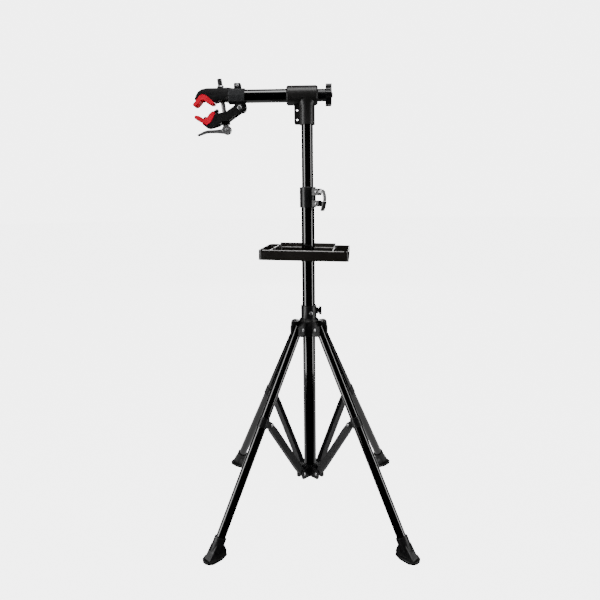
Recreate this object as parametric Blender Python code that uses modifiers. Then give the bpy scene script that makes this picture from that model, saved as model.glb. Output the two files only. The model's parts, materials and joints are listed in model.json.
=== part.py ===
"""Portable bicycle repair stand: four folding legs, a telescopic mast, a tool tray and a frame clamp.

Metres, +Z up, the floor at z = 0. The origin is on the floor at the middle of the stand's box, and the
clamp points to -X. Each moving body has an empty on its joint's axis, and its pieces are parented to it.
"""

import math

import bmesh
import bpy
from mathutils import Matrix, Vector

# ---- Driving dimensions ----
GAP = 0.0003          # between pieces that touch
POST_X = 0.01122      # how far the post stands to the right of the middle of the box

POST_R = 0.0200       # lower tube, outside
POST_BORE = 0.0188
POST_BOTTOM = 0.1530
POST_TOP = 1.0410
MAST_R = 0.0174       # upper tube, outside
MAST_BORE = 0.0158
MAST_BOTTOM = 0.3800
MAST_TOP = 1.2925

LEG_AZIMUTHS = {"front_left": 225, "front_right": 315, "rear_right": 45, "rear_left": 135}
CROSSING_AZIMUTHS = (45, 135)    # each passes over two opposite legs
LEG_R = 0.0140
LEG_BORE = 0.0122
LEG_PIVOT = (0.0480, 0.6190)     # radius from the post, height
LEG_LEAN = math.radians(29.8)    # from the vertical
LEG_TUBE_END = 0.6920            # from the leg's pivot, along the leg
LEG_BRACKET = 0.3030             # the same, to the bracket
BRACE_OFFSET = 0.0260            # brace pivot, from the leg's centre line towards the post
BRACE_FOOT = (0.0400, 0.1300)    # the brace's lower pivot: radius, height
BRACE_WIDTH = 0.0180
BRACE_HALF_DEPTH = 0.0105
BRACE_WALL = 0.0022
PIN_R = 0.0030
PIN_HOLE_R = 0.0034

HUB_BORE = 0.0206
HUB_BOTTOM = 0.5970
HUB_TOP = 0.6900
HUB_HALF_WIDTH = 0.0218          # over a pair of ears
HUB_SLOT = 0.0145                # half the slot that a leg sits in
HUB_KNOB_AT = (0.0300, 0.6720)   # out from the post to the right, height
HUB_BOSS_R = 0.0105

TRAY_SIZE = (0.2640, 0.2300, 0.0265)
TRAY_SHIFT = -0.0055             # the tray's middle, from the post
TRAY_BOTTOM = 0.8416
TRAY_TURN = math.radians(-5.0)
TRAY_WALL = 0.0030
TRAY_SCREW_Z = -0.0098           # below the tray's floor

ARM_Z = 1.3180
ARM_R = 0.0190
ARM_BORE = 0.0170
ARM_ENDS = (-0.2240, 0.0300)
TEE_ENDS = (-0.0600, 0.0320)

JAW_PIVOT = (-0.1970, 1.2835)    # x from the post, z
CAM = (-0.2390, 1.2235)
ROD_LEAN = math.radians(-6.9)    # the clamp's rod leans this far to the left at its top
CAM_R = 0.0135
CAM_HALF_WIDTH = 0.0112
SHANK_R = 0.0030
JAW_HALF_WIDTH = 0.0200
JAW_EAR_HALF_WIDTH = 0.0120      # the upper jaw's ear, inside the lower jaw's fork
PAD_WIDTH = 0.0420

STEPS = 24
FINE_STEPS = 12
X_AXIS, Y_AXIS = Vector((1, 0, 0)), Vector((0, 1, 0))

# name: colour, roughness, metallic
FINISHES = {
    "gloss_black": ((0.012, 0.012, 0.013), 0.22, 0.1),
    "cast_grey": ((0.045, 0.046, 0.048), 0.50, 0.3),
    "black_plastic": ((0.018, 0.018, 0.019), 0.45, 0.0),
    "tray_plastic": ((0.020, 0.018, 0.016), 0.50, 0.0),
    "red_rubber": ((0.62, 0.012, 0.030), 0.45, 0.0),
    "steel": ((0.60, 0.60, 0.61), 0.28, 1.0),
    "dark_steel": ((0.20, 0.20, 0.21), 0.35, 1.0),
}


# ---- Scene helpers ----
def clear_scene():
    for obj in list(bpy.data.objects):
        bpy.data.objects.remove(obj)


def new_collection(name):
    collection = bpy.data.collections.new(name)
    bpy.context.scene.collection.children.link(collection)
    return collection


clear_scene()
STAND = new_collection("repair_stand")
CUTTERS = new_collection("cutters")
WORLD = {}            # where each empty stands, by name
MANY_CROSSINGS = ("hub", "lower_collar", "tee_joint", "upper_jaw", "foot_")    # EXACT leaves these open


def joint_empty(name, matrix, parent=None):
    """An empty on a moving body's joint axis. matrix is where it stands in the world."""
    empty = bpy.data.objects.new(name + "_axis", None)
    empty.empty_display_size = 0.03
    STAND.objects.link(empty)
    WORLD[empty.name] = matrix
    if parent:
        empty.parent = parent
        matrix = WORLD[parent.name].inverted() @ matrix
    empty.matrix_local = matrix
    return empty


def finish_material(name, finish):
    colour, roughness, metallic = FINISHES[finish]
    material = bpy.data.materials.new(name + "_finish")
    material.use_nodes = True
    shader = material.node_tree.nodes["Principled BSDF"]
    shader.inputs["Base Color"].default_value = (*colour, 1)
    shader.inputs["Roughness"].default_value = roughness
    shader.inputs["Metallic"].default_value = metallic
    material.diffuse_color = (*colour, 1)
    return material


def add(name, mesh, body, matrix=Matrix(), finish=None):
    """A piece of the stand, or a cutter where no finish is given. matrix is in the body's frame."""
    obj = bpy.data.objects.new(name, mesh)
    obj.parent = body
    obj.matrix_local = matrix
    if finish:
        mesh.materials.append(finish_material(name, finish))
        STAND.objects.link(obj)
    else:
        CUTTERS.objects.link(obj)
        obj.hide_render = True
        obj.display_type = "WIRE"
    return obj


def cut(obj, *cutters):
    for cutter in cutters:
        boolean(obj, cutter, "DIFFERENCE")


def join(obj, *others):
    for other in others:
        boolean(obj, other, "UNION")


def boolean(obj, other, operation):
    modifier = obj.modifiers.new(operation.title(), "BOOLEAN")
    modifier.operation = operation
    modifier.object = other
    modifier.solver = "MANIFOLD" if obj.name.startswith(MANY_CROSSINGS) else "EXACT"


def bevel(obj, width, segments=1):
    modifier = obj.modifiers.new("Bevel", "BEVEL")
    modifier.width = width
    modifier.segments = segments
    modifier.limit_method = "ANGLE"
    modifier.angle_limit = math.radians(35)


# ---- Shape helpers ----
def mm(*pairs):
    """Points given in millimetres, in metres."""
    return [(x / 1000, y / 1000) for x, y in pairs]


def arc(centre, radius, start, end, count):
    """Points round an arc, angles in degrees, both ends included."""
    angles = [math.radians(start + (end - start) * i / (count - 1)) for i in range(count)]
    return [(centre[0] + radius * math.cos(a), centre[1] + radius * math.sin(a)) for a in angles]


def circle(centre, radius, count=12):
    return arc(centre, radius, 0, 360 * (count - 1) / count, count)


def rounded(corners, radius, count=4):
    """The outline with each corner rounded to the radius, or less where a side is short."""
    points = []
    for i, corner in enumerate(corners):
        here = Vector(corner)
        before = Vector(corners[i - 1]) - here
        after = Vector(corners[(i + 1) % len(corners)]) - here
        half = before.angle(after) / 2
        reach = min(radius / math.tan(half), before.length * 0.45, after.length * 0.45)
        start = here + before.normalized() * reach
        end = here + after.normalized() * reach
        for step in range(count):
            t = step / (count - 1)
            points.append(tuple(start * (1 - t) ** 2 + here * 2 * t * (1 - t) + end * t**2))
    return points


def rectangle(x0, y0, x1, y1):
    return [(x0, y0), (x1, y0), (x1, y1), (x0, y1)]


def both_ways(half):
    """A closed outline from its right half, given from top to bottom."""
    return half + [(-x, y) for x, y in reversed(half)]


def facing(axis, at=(0, 0, 0)):
    """A frame at a point, with its Z along the axis."""
    return Matrix.Translation(at) @ Vector(axis).to_track_quat("Z", "Y").to_matrix().to_4x4()


def side_on(x=0.0, y=0.0, z=0.0):
    """A frame whose X and Y are the world's X and Z, with its own Z along -Y."""
    return Matrix.Translation((x, y, z)) @ Matrix.Rotation(math.radians(90), 4, "X")


def turned(name, body, profile, matrix=Matrix(), finish=None, steps=STEPS, ring=False):
    """A shape turned about its own Z: (radius, height) pairs down its outer side and up its bore."""
    count = len(profile)
    edges = [(i, i + 1) for i in range(count - 1)] + ([(count - 1, 0)] if ring else [])
    mesh = bpy.data.meshes.new(name)
    mesh.from_pydata([(radius, 0, height) for radius, height in profile], edges, [])
    obj = add(name, mesh, body, matrix, finish)
    screw = obj.modifiers.new("Turn", "SCREW")
    screw.steps = screw.render_steps = steps
    screw.use_merge_vertices = True
    screw.merge_threshold = 0.00001
    screw.use_smooth_shade = True
    return obj


def rod(name, body, radius, low, high, matrix=Matrix(), finish=None, steps=FINE_STEPS):
    profile = [(0, high), (radius, high), (radius, low), (0, low)]
    return turned(name, body, profile, matrix, finish, steps)


def pipe(name, body, radius, bore, low, high, matrix=Matrix(), finish=None, steps=STEPS):
    profile = [(radius, high), (radius, low), (bore, low), (bore, high)]
    return turned(name, body, profile, matrix, finish, steps, ring=True)


def headed_pin(name, body, half_length, radius, head_radius, head, matrix, finish="steel"):
    """A pin with a low domed head on each end."""
    top = half_length + head
    side = [(0, top), (head_radius * 0.7, top), (head_radius, top - head * 0.5)]
    side += [(head_radius, half_length), (radius, half_length)]
    profile = side + [(r, -height) for r, height in reversed(side)]
    return turned(name, body, profile, matrix, finish, FINE_STEPS)


def plate(name, body, loops, thickness, matrix=Matrix(), finish=None):
    """A flat piece: its first loop is the outline and the rest are holes. It is centred on its plane."""
    curve = bpy.data.curves.new(name, "CURVE")
    curve.dimensions = "2D"
    curve.fill_mode = "BOTH"
    curve.extrude = thickness / 2
    for loop in loops:
        spline = curve.splines.new("POLY")
        spline.points.add(len(loop) - 1)
        for point, (x, y) in zip(spline.points, loop):
            point.co = (x, y, 0, 1)
        spline.use_cyclic_u = True
    holder = bpy.data.objects.new(name + "_outline", curve)
    STAND.objects.link(holder)
    bpy.context.view_layer.update()
    graph = bpy.context.evaluated_depsgraph_get()
    mesh = bpy.data.meshes.new_from_object(holder.evaluated_get(graph))
    bpy.data.objects.remove(holder)
    shape = bmesh.new()
    shape.from_mesh(mesh)
    bmesh.ops.remove_doubles(shape, verts=shape.verts, dist=0.00001)
    bmesh.ops.recalc_face_normals(shape, faces=shape.faces)
    shape.to_mesh(mesh)
    shape.free()
    return add(name, mesh, body, matrix, finish)


def box(name, body, low, high, matrix=Matrix(), finish=None):
    shape = bmesh.new()
    bmesh.ops.create_cube(shape, size=1)
    size = Vector(high) - Vector(low)
    bmesh.ops.scale(shape, vec=size, verts=shape.verts)
    bmesh.ops.translate(shape, vec=(Vector(high) + Vector(low)) / 2, verts=shape.verts)
    mesh = bpy.data.meshes.new(name)
    shape.to_mesh(mesh)
    shape.free()
    return add(name, mesh, body, matrix, finish)


# ---- Post ----
POST = joint_empty("post", Matrix.Translation((POST_X, 0, 0)))


def at_post(x=0.0, y=0.0, z=0.0):
    """A world frame at a point given from the post's foot."""
    return Matrix.Translation((POST_X + x, y, z))


def turned_about_post(azimuth):
    """A frame on the post, in the post's own coordinates, with its X along the azimuth."""
    return Matrix.Rotation(math.radians(azimuth), 4, "Z")


def make_lower_tube():
    pipe("lower_tube", POST, POST_R, POST_BORE, POST_BOTTOM, POST_TOP, finish="gloss_black")


def make_lower_collar():
    """The casting in the tube's bottom end, with a pair of ears for each brace."""
    spigot_top, body_top, body_bottom, body_r = 0.1850, POST_BOTTOM - GAP, 0.1140, 0.0220
    ear_half, slot_half, ear_reach = 0.0135, BRACE_WIDTH / 2 + GAP, 0.0500
    spigot_r = POST_BORE - GAP
    profile = [(0, spigot_top), (spigot_r, spigot_top), (spigot_r, body_top), (body_r, body_top)]
    profile += [(body_r, body_bottom + 0.003), (body_r - 0.003, body_bottom), (0, body_bottom)]
    collar = turned("lower_collar", POST, profile, finish="cast_grey")
    ears = both_ways(arc((ear_reach - 0.012, 0.1350), 0.0120, 90, 0, 5) + mm((50, 118), (44, 112)))
    radius, height = BRACE_FOOT
    holes = [circle((side * radius, height), PIN_HOLE_R, 10) for side in (-1, 1)]
    for azimuth in CROSSING_AZIMUTHS:
        frame = turned_about_post(azimuth) @ side_on()
        join(collar, plate(f"collar_ears_{azimuth}", POST, [ears] + holes, ear_half * 2, frame))
    for name, azimuth in LEG_AZIMUTHS.items():
        low, high = (body_r + 0.002, -slot_half, 0.10), (0.06, slot_half, 0.16)
        cut(collar, box(f"collar_slot_{name}", POST, low, high, turned_about_post(azimuth)))


# ---- Hub and legs ----
HUB = joint_empty("hub_slide", at_post(z=LEG_PIVOT[1]), POST)
HUB_FRAME = Matrix.Translation((0, 0, -LEG_PIVOT[1]))     # the post's coordinates, in the hub's
HUB_KNOB = joint_empty("hub_knob_turn", at_post(HUB_KNOB_AT[0], 0, HUB_KNOB_AT[1]) @ facing(X_AXIS), HUB)


def make_hub():
    neck_r, bell_top_r, bell_r, skirt_top = 0.0245, 0.0300, 0.0425, 0.6420
    profile = [(0, HUB_TOP), (neck_r - 0.001, HUB_TOP), (neck_r, HUB_TOP - 0.001)]
    profile += [(neck_r, skirt_top + 0.008), (bell_top_r, skirt_top), (bell_r - 0.005, 0.6320)]
    profile += [(bell_r, 0.6180), (bell_r, HUB_BOTTOM + 0.001), (bell_r - 0.001, HUB_BOTTOM), (0, HUB_BOTTOM)]
    hub = turned("hub", HUB, profile, HUB_FRAME, "cast_grey")
    radius, height = LEG_PIVOT
    ears = both_ways(arc((radius - 0.004, 0.6240), 0.0170, 90, 0, 6) + mm((61, 603), (55, 598)))
    holes = [circle((side * radius, height), PIN_HOLE_R, 10) for side in (-1, 1)]
    for azimuth in CROSSING_AZIMUTHS:
        frame = HUB_FRAME @ turned_about_post(azimuth) @ side_on()
        join(hub, plate(f"hub_ears_{azimuth}", HUB, [ears] + holes, HUB_HALF_WIDTH * 2, frame))
    boss_reach, boss_z = HUB_KNOB_AT
    boss = facing(X_AXIS, (0, 0, boss_z - LEG_PIVOT[1]))
    join(hub, rod("hub_boss", HUB, HUB_BOSS_R, 0.0150, boss_reach, boss))
    cut(hub, rod("hub_bore", HUB, HUB_BORE, 0.57, 0.70, HUB_FRAME, steps=STEPS))
    cut(hub, rod("hub_knob_hole", HUB, 0.0034, 0.0100, 0.0400, boss))
    for name, azimuth in LEG_AZIMUTHS.items():
        low, high = (0.0280, -HUB_SLOT, 0.57), (0.08, HUB_SLOT, 0.66)
        frame = HUB_FRAME @ turned_about_post(azimuth)
        cut(hub, box(f"hub_slot_{name}", HUB, low, high, frame))


def make_hub_fittings():
    """The button screw on the sleeve's front, and the wing knob that locks the hub on the post."""
    screw = [(0, 0.0275), (0.0040, 0.0272), (0.0060, 0.0258), (0.0060, 0.0248), (0, 0.0248)]
    frame = HUB_FRAME @ facing((0.26, -0.966, 0), (0, 0, 0.6670))
    turned("hub_screw", HUB, screw, frame, "steel", FINE_STEPS)
    wings = arc((0, 0.0085), 0.0050, 0, 180, 6) + arc((0, -0.0085), 0.0050, 180, 360, 6)
    wing_frame = Matrix.Translation((0, 0, 0.0063))
    knob = plate("hub_knob", HUB_KNOB, [wings], 0.0084, wing_frame, "black_plastic")
    join(knob, rod("hub_knob_boss", HUB_KNOB, 0.0078, GAP, 0.0105))
    join(knob, rod("hub_knob_screw", HUB_KNOB, 0.0030, -0.0085, 0.0020))


def leg_joint(name, azimuth):
    """The empty on a leg's pivot: X radial, Y along the pin, then leaned so that the leg hangs along -Z."""
    radius, height = LEG_PIVOT
    frame = at_post() @ turned_about_post(azimuth) @ Matrix.Translation((radius, 0, height))
    return joint_empty(f"leg_{name}", frame @ Matrix.Rotation(-LEG_LEAN, 4, "Y"), HUB)


def make_leg(name, azimuth):
    leg = leg_joint(name, azimuth)
    across = facing(Y_AXIS)
    tube = pipe(f"leg_{name}", leg, LEG_R, LEG_BORE, -LEG_TUBE_END, 0.0080, finish="gloss_black")
    cut(tube, rod(f"leg_pin_hole_{name}", leg, PIN_HOLE_R, -0.02, 0.02, across))
    pin_frame = Matrix.Rotation(LEG_LEAN, 4, "Y") @ across
    in_hub = WORLD[HUB.name].inverted() @ WORLD[leg.name] @ pin_frame
    headed_pin(f"hub_pin_{name}", HUB, HUB_HALF_WIDTH + GAP, PIN_R, 0.0060, 0.0024, in_hub)
    make_bracket(name, leg)
    make_foot(name, leg)
    make_brace(name, azimuth, leg)


def make_bracket(name, leg):
    """The ring round a leg, with two ears that hold its brace."""
    ring_r, half_length, ear_half = 0.0163, 0.0150, 0.0133
    at_bracket = Matrix.Translation((0, 0, -LEG_BRACKET))
    low, high = -half_length, half_length
    ring = rod(f"leg_bracket_{name}", leg, ring_r, low, high, at_bracket, "cast_grey", STEPS)
    ear = [(-0.0080, 0.0110), (-0.0080, -0.0110)] + arc((-BRACE_OFFSET, 0), 0.0080, -90, -270, 8)
    hole = circle((-BRACE_OFFSET, 0), PIN_HOLE_R, 10)
    frame = side_on(z=-LEG_BRACKET)
    join(ring, plate(f"bracket_ears_{name}", leg, [ear, hole], ear_half * 2, frame))
    slot_half = BRACE_WIDTH / 2 + GAP
    cut(ring, rod(f"bracket_bore_{name}", leg, LEG_R + GAP, -0.02, 0.02, at_bracket, steps=STEPS))
    slot_low, slot_high = (-0.05, -slot_half, -0.02), (-0.0170, slot_half, 0.02)
    cut(ring, box(f"bracket_slot_{name}", leg, slot_low, slot_high, at_bracket))
    pin_frame = facing(Y_AXIS, (-BRACE_OFFSET, 0, -LEG_BRACKET))
    headed_pin(f"brace_pin_{name}", leg, ear_half + GAP, PIN_R, 0.0052, 0.0020, pin_frame)


def make_foot(name, leg):
    """A plastic boot: a socket on the tube's end that spreads into a flat paddle on the floor."""
    upright = Matrix.Rotation(LEG_LEAN, 4, "Y") @ Matrix.Translation((-LEG_PIVOT[0], 0, -LEG_PIVOT[1]))
    toe, heel, half_width = 0.4300, 0.3600, 0.0230
    sole = [(heel, -0.0150), (heel, 0.0150)] + [(0.3800, half_width), (toe - 0.016, half_width)]
    sole += [(toe - 0.0050, 0.0160), (toe, 0.0060), (toe, -0.0060), (toe - 0.0050, -0.0160)]
    sole += [(toe - 0.016, -half_width), (0.3800, -half_width)]
    thick = 0.0080
    on_floor = upright @ Matrix.Translation((0, 0, thick / 2))
    foot = plate(f"foot_{name}", leg, [sole], thick, on_floor, "black_plastic")
    bevel(foot, 0.0015)
    ridge = mm((362, 2), (424, 2), (420, 9), (408, 24), (394, 44), (366, 34), (360, 16))
    socket_r = 0.0178
    join(foot, plate(f"foot_ridge_{name}", leg, [ridge], 0.0260, upright @ side_on()))
    join(foot, rod(f"foot_socket_{name}", leg, socket_r, -0.6900, -0.6480, steps=STEPS))
    cut(foot, rod(f"foot_bore_{name}", leg, LEG_R + GAP, -LEG_TUBE_END - GAP, -0.60, steps=STEPS))
    cut(foot, box(f"foot_floor_{name}", leg, (0.30, -0.05, -0.05), (0.50, 0.05, 0.0), upright))


def make_brace(name, azimuth, leg):
    """A channel from a leg's bracket to the lower collar. Its joint is on the bracket's pin."""
    top = WORLD[leg.name] @ Vector((-BRACE_OFFSET, 0, -LEG_BRACKET))
    foot = at_post() @ turned_about_post(azimuth) @ Vector((BRACE_FOOT[0], 0, BRACE_FOOT[1]))
    length = (foot - top).length
    along = (foot - top).normalized()
    pin = WORLD[leg.name].to_3x3() @ Y_AXIS
    frame = Matrix((along, along.cross(pin), -pin)).transposed().to_4x4()
    brace = joint_empty(f"brace_{name}", Matrix.Translation(top) @ frame, leg)
    deep, taper = BRACE_HALF_DEPTH, 0.0300
    outline = arc((0, 0), 0.0080, 90, 270, 8) + [(taper, -deep), (length - taper, -deep)]
    outline += arc((length, 0), 0.0080, -90, 90, 8) + [(length - taper, deep), (taper, deep)]
    holes = [circle((0, 0), PIN_HOLE_R, 10), circle((length, 0), PIN_HOLE_R, 10)]
    channel = plate(f"brace_{name}", brace, [outline] + holes, BRACE_WIDTH, finish="cast_grey")
    inside = BRACE_WIDTH / 2 - BRACE_WALL
    low, high = (-0.02, -0.02, -inside), (length + 0.02, deep - BRACE_WALL, inside)
    cut(channel, box(f"brace_hollow_{name}", brace, low, high))


# ---- Mast ----
LUG_AZIMUTH = -38.0
LUG_REACH = 0.0470
LUG_HALF = 0.0095
LUG_HOLE = 0.0370                # from the post along the lugs
MAST_COLLAR = (0.9930, 1.0540)
LEVER_Z = 1.0390


def make_mast_collar():
    """The clamp at the lower tube's top: a split sleeve with an upper and a lower pair of lugs."""
    low, high = MAST_COLLAR
    sleeve_r, lip_bore = 0.0245, MAST_R + 0.0009
    profile = [(0, high), (sleeve_r - 0.001, high), (sleeve_r, high - 0.001), (sleeve_r, low), (0, low)]
    collar = turned("mast_collar", POST, profile, finish="cast_grey")
    frame = turned_about_post(LUG_AZIMUTH)
    slit_half = 0.0010
    lugs = {"upper": (1.0290, 1.0490), "lower": (0.9960, 1.0140)}
    for name, (bottom, top) in lugs.items():
        lug = rounded(rectangle(0.0150, bottom, LUG_REACH, top), 0.006, 4)
        hole = circle((LUG_HOLE, (bottom + top) / 2), 0.0029, 10)
        join(collar, plate(f"mast_lug_{name}", POST, [lug, hole], LUG_HALF * 2, frame @ side_on()))
    cut(collar, rod("mast_collar_bore", POST, POST_R + GAP, 0.98, POST_TOP + 0.0030, steps=STEPS))
    cut(collar, rod("mast_lip_bore", POST, lip_bore, 1.0, 1.07, steps=STEPS))
    cut(collar, box("mast_slit", POST, (0.010, -slit_half, 0.98), (0.06, slit_half, 1.07), frame))


def make_mast_fittings():
    """The plastic bush between the two tubes, and the lugs' skewer and screw."""
    bush_r, bush_bore = POST_BORE - GAP, MAST_R + GAP
    flange_r, flange_top = POST_R - 0.0002, POST_TOP + 0.0027
    profile = [(flange_r, flange_top), (flange_r, POST_TOP + GAP), (bush_r, POST_TOP + GAP)]
    profile += [(bush_r, 0.9960), (bush_bore, 0.9960), (bush_bore, flange_top)]
    turned("mast_bush", POST, profile, finish="black_plastic", ring=True)
    frame = turned_about_post(LUG_AZIMUTH)
    for name, height in (("mast_skewer", LEVER_Z), ("mast_screw", 1.0050)):
        across = frame @ facing(Y_AXIS, (LUG_HOLE, 0, height))
        headed_pin(name, POST, LUG_HALF + GAP, 0.0025, 0.0045, 0.0024, across)


def make_mast_lever():
    """The quick-release lever: a bow that hangs down the collar's side and ends in a grip."""
    beyond_lugs = Matrix.Translation((LUG_REACH + 0.0085, 0, LEVER_Z))
    body = joint_empty("mast_lever", at_post() @ turned_about_post(LUG_AZIMUTH) @ beyond_lugs, POST)
    bow_outer = mm((-0.5, 7), (5, 1), (8.5, -8), (10, -18), (9, -28))
    bow_inner = mm((5, -27.3), (6, -18), (4.5, -9), (1, -4), (-5, -3.5), (-7.8, 0), (-6.2, 4.6), (-3.8, 7))
    lever = plate("mast_lever", body, [bow_outer + bow_inner], 0.0140, side_on(), "steel")
    bevel(lever, 0.0006)
    grip_outer = mm((10.6, -28.4), (9.5, -36), (6.5, -46), (2.5, -55), (-1.5, -57.5))
    grip_inner = mm((-3.5, -54), (-0.5, -45), (2, -36), (3.2, -27.7))
    grip = plate("mast_lever_grip", body, [grip_outer + grip_inner], 0.0160, side_on(), "black_plastic")
    bevel(grip, 0.0015)


GUIDE = joint_empty("mast_slide", at_post(z=MAST_BOTTOM), POST)
MAST = joint_empty("mast_turn", at_post(z=MAST_TOP), GUIDE)
MAST_FRAME = Matrix.Translation((0, 0, -MAST_TOP))


def make_mast():
    """The upper tube, and the guide plug in its bottom end that slides in the lower tube."""
    plug_r = POST_BORE - 0.0005
    spigot = MAST_BORE - GAP
    profile = [(0, 0.030), (spigot, 0.030), (spigot, -GAP), (plug_r, -GAP), (plug_r, -0.012), (0, -0.012)]
    turned("guide_plug", GUIDE, profile, finish="black_plastic")
    pipe("upper_tube", MAST, MAST_R, MAST_BORE, MAST_BOTTOM, MAST_TOP, MAST_FRAME, "gloss_black")


def make_tee_joint():
    """The casting on the mast's top: a sleeve for the arm across a split sleeve for the upper tube."""
    left, right = TEE_ENDS
    sleeve_r, stem_r, stem_bottom, chamfer = 0.0280, 0.0230, 1.2350, 0.0040
    frame = MAST_FRAME @ facing(X_AXIS, (0, 0, ARM_Z))
    profile = [(0, right), (sleeve_r - chamfer, right), (sleeve_r, right - chamfer)]
    profile += [(sleeve_r, left + chamfer), (sleeve_r - chamfer, left), (0, left)]
    tee = turned("tee_joint", MAST, profile, frame, "cast_grey")
    root_r, root_top = sleeve_r - 0.0005, 1.3150
    stem = [(0, root_top), (root_r, root_top), (root_r, 1.2960), (stem_r, 1.2870)]
    stem += [(stem_r, stem_bottom), (0, stem_bottom)]
    join(tee, turned("tee_stem", MAST, stem, MAST_FRAME))
    flange = rounded(rectangle(-0.0380, stem_bottom + 0.001, -0.0120, 1.3000), 0.006, 4)
    holes = [circle((-0.0290, 1.2760), 0.0035, 12), circle((-0.0290, 1.2490), 0.0035, 12)]
    join(tee, plate("tee_flange", MAST, [flange] + holes, 0.0160, MAST_FRAME @ side_on()))
    cut(tee, rod("tee_arm_bore", MAST, ARM_R + GAP, -0.08, 0.05, frame, steps=STEPS))
    cut(tee, rod("tee_mast_bore", MAST, MAST_R + GAP, 1.22, MAST_TOP + 0.001, MAST_FRAME, steps=STEPS))
    cut(tee, box("tee_slit", MAST, (-0.045, -0.001, 1.22), (-0.010, 0.001, MAST_TOP), MAST_FRAME))


# ---- Arm and clamp ----
ARM = joint_empty("arm_turn", at_post(z=ARM_Z), MAST)
ARM_FRAME = Matrix.Translation((0, 0, -ARM_Z))
KNOB_START = 0.0553


def make_arm():
    """The arm's tube, and the threaded plug in its right end."""
    along = facing(X_AXIS)
    left, right = ARM_ENDS
    pipe("arm_tube", ARM, ARM_R, ARM_BORE, left, right, along, "gloss_black")
    plug_r, flange_r, bolt_hole = ARM_BORE - GAP, 0.0175, 0.0054
    profile = [(flange_r, KNOB_START - GAP), (flange_r, right + 0.0025), (plug_r, right + 0.0025)]
    profile += [(plug_r, -0.0100), (bolt_hole, -0.0100), (bolt_hole, KNOB_START - GAP)]
    turned("arm_plug", ARM, profile, along, "black_plastic", ring=True)


def make_star_knob():
    """The knob that locks the arm in the tee, on its bolt."""
    body = joint_empty("knob_turn", at_post(KNOB_START, 0, ARM_Z) @ facing(X_AXIS), ARM)
    lobes, mean_r, swing, count = 6, 0.0300, 0.0030, 48
    angles = [2 * math.pi * i / count for i in range(count)]
    radii = [mean_r + swing * math.cos(lobes * a) for a in angles]
    star = [(r * math.cos(a), r * math.sin(a)) for a, r in zip(angles, radii)]
    thick, bolt_r = 0.0170, 0.0050
    knob = plate("star_knob", body, [star], thick, Matrix.Translation((0, 0, thick / 2)), "black_plastic")
    bevel(knob, 0.0025)
    cut(knob, rod("star_knob_hole", body, bolt_r + GAP, -0.01, 0.03))
    bolt = [(0, 0.0205), (0.0060, 0.0205), (0.0080, 0.0190), (0.0080, thick + GAP)]
    bolt += [(bolt_r, thick + GAP), (bolt_r, -0.0450), (0, -0.0450)]
    turned("knob_bolt", body, bolt, finish="dark_steel", steps=FINE_STEPS)


def in_arm(x=0.0, y=0.0, z=ARM_Z):
    """A side-on frame in the arm's coordinates, at a point given from the post's foot."""
    return ARM_FRAME @ side_on(x, y, z)


ROD_FRAME = Matrix.Translation((CAM[0], 0, CAM[1])) @ Matrix.Rotation(ROD_LEAN, 4, "Y")
SOCKET = (-0.2300, -0.1820, 0.0220)      # left end, right end, radius
PINCH_SCREW = (-0.2030, 1.3470)          # x from the post, z
PINCH_LUG_HALF = 0.0100


def make_upper_jaw():
    """The fixed jaw: a socket on the arm's end, a hooked nose, and an ear for the moving jaw."""
    back = mm((-186, 1334), (-230, 1340), (-263, 1339), (-291.5, 1339))
    nose = mm((-307, 1336), (-317.5, 1329.5), (-324, 1320), (-328.5, 1309), (-325.5, 1304.7))
    hollow = mm((-314.3, 1318.5), (-306, 1322), (-296.8, 1321), (-287.6, 1314.5), (-271.8, 1300.2))
    under = mm((-262, 1303), (-248, 1305.5), (-232, 1303), (-214, 1301), (-186, 1301))
    outline = back + nose + hollow + under
    jaw = plate("upper_jaw", ARM, [outline], JAW_HALF_WIDTH * 2, in_arm(z=0), "cast_grey")
    bevel(jaw, 0.0030, 2)
    left, right, radius = SOCKET
    along = facing(X_AXIS)
    join(jaw, rod("jaw_socket", ARM, radius, left, right, along, steps=STEPS))
    lug = rounded(rectangle(-0.2130, 1.3300, -0.1930, 1.3540), 0.003, 3)
    join(jaw, plate("jaw_lug", ARM, [lug], PINCH_LUG_HALF * 2, in_arm(z=0)))
    ear = mm((-216, 1306), (-211, 1283), (-205, 1274), (-196, 1270.5))
    ear += mm((-186, 1272), (-179.5, 1279), (-178, 1289), (-183, 1306))
    join(jaw, plate("jaw_ear", ARM, [ear], JAW_EAR_HALF_WIDTH * 2, in_arm(z=0)))
    cut(jaw, rod("jaw_socket_bore", ARM, ARM_R + GAP, ARM_ENDS[0] - GAP, -0.17, along, steps=STEPS))
    cut(jaw, box("jaw_slit", ARM, (-0.2240, -0.001, 0.0), (-0.17, 0.001, 0.05)))
    pin_x, pin_z = JAW_PIVOT
    screw_x, screw_z = PINCH_SCREW
    cut(jaw, rod("jaw_pin_hole", ARM, 0.0044, -0.03, 0.03, in_arm(pin_x, 0, pin_z)))
    cut(jaw, rod("jaw_lug_hole", ARM, 0.0029, -0.03, 0.03, in_arm(screw_x, 0, screw_z)))
    cut(jaw, rod("jaw_rod_hole", ARM, 0.0072, 0.06, 0.14, ARM_FRAME @ ROD_FRAME))


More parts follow.
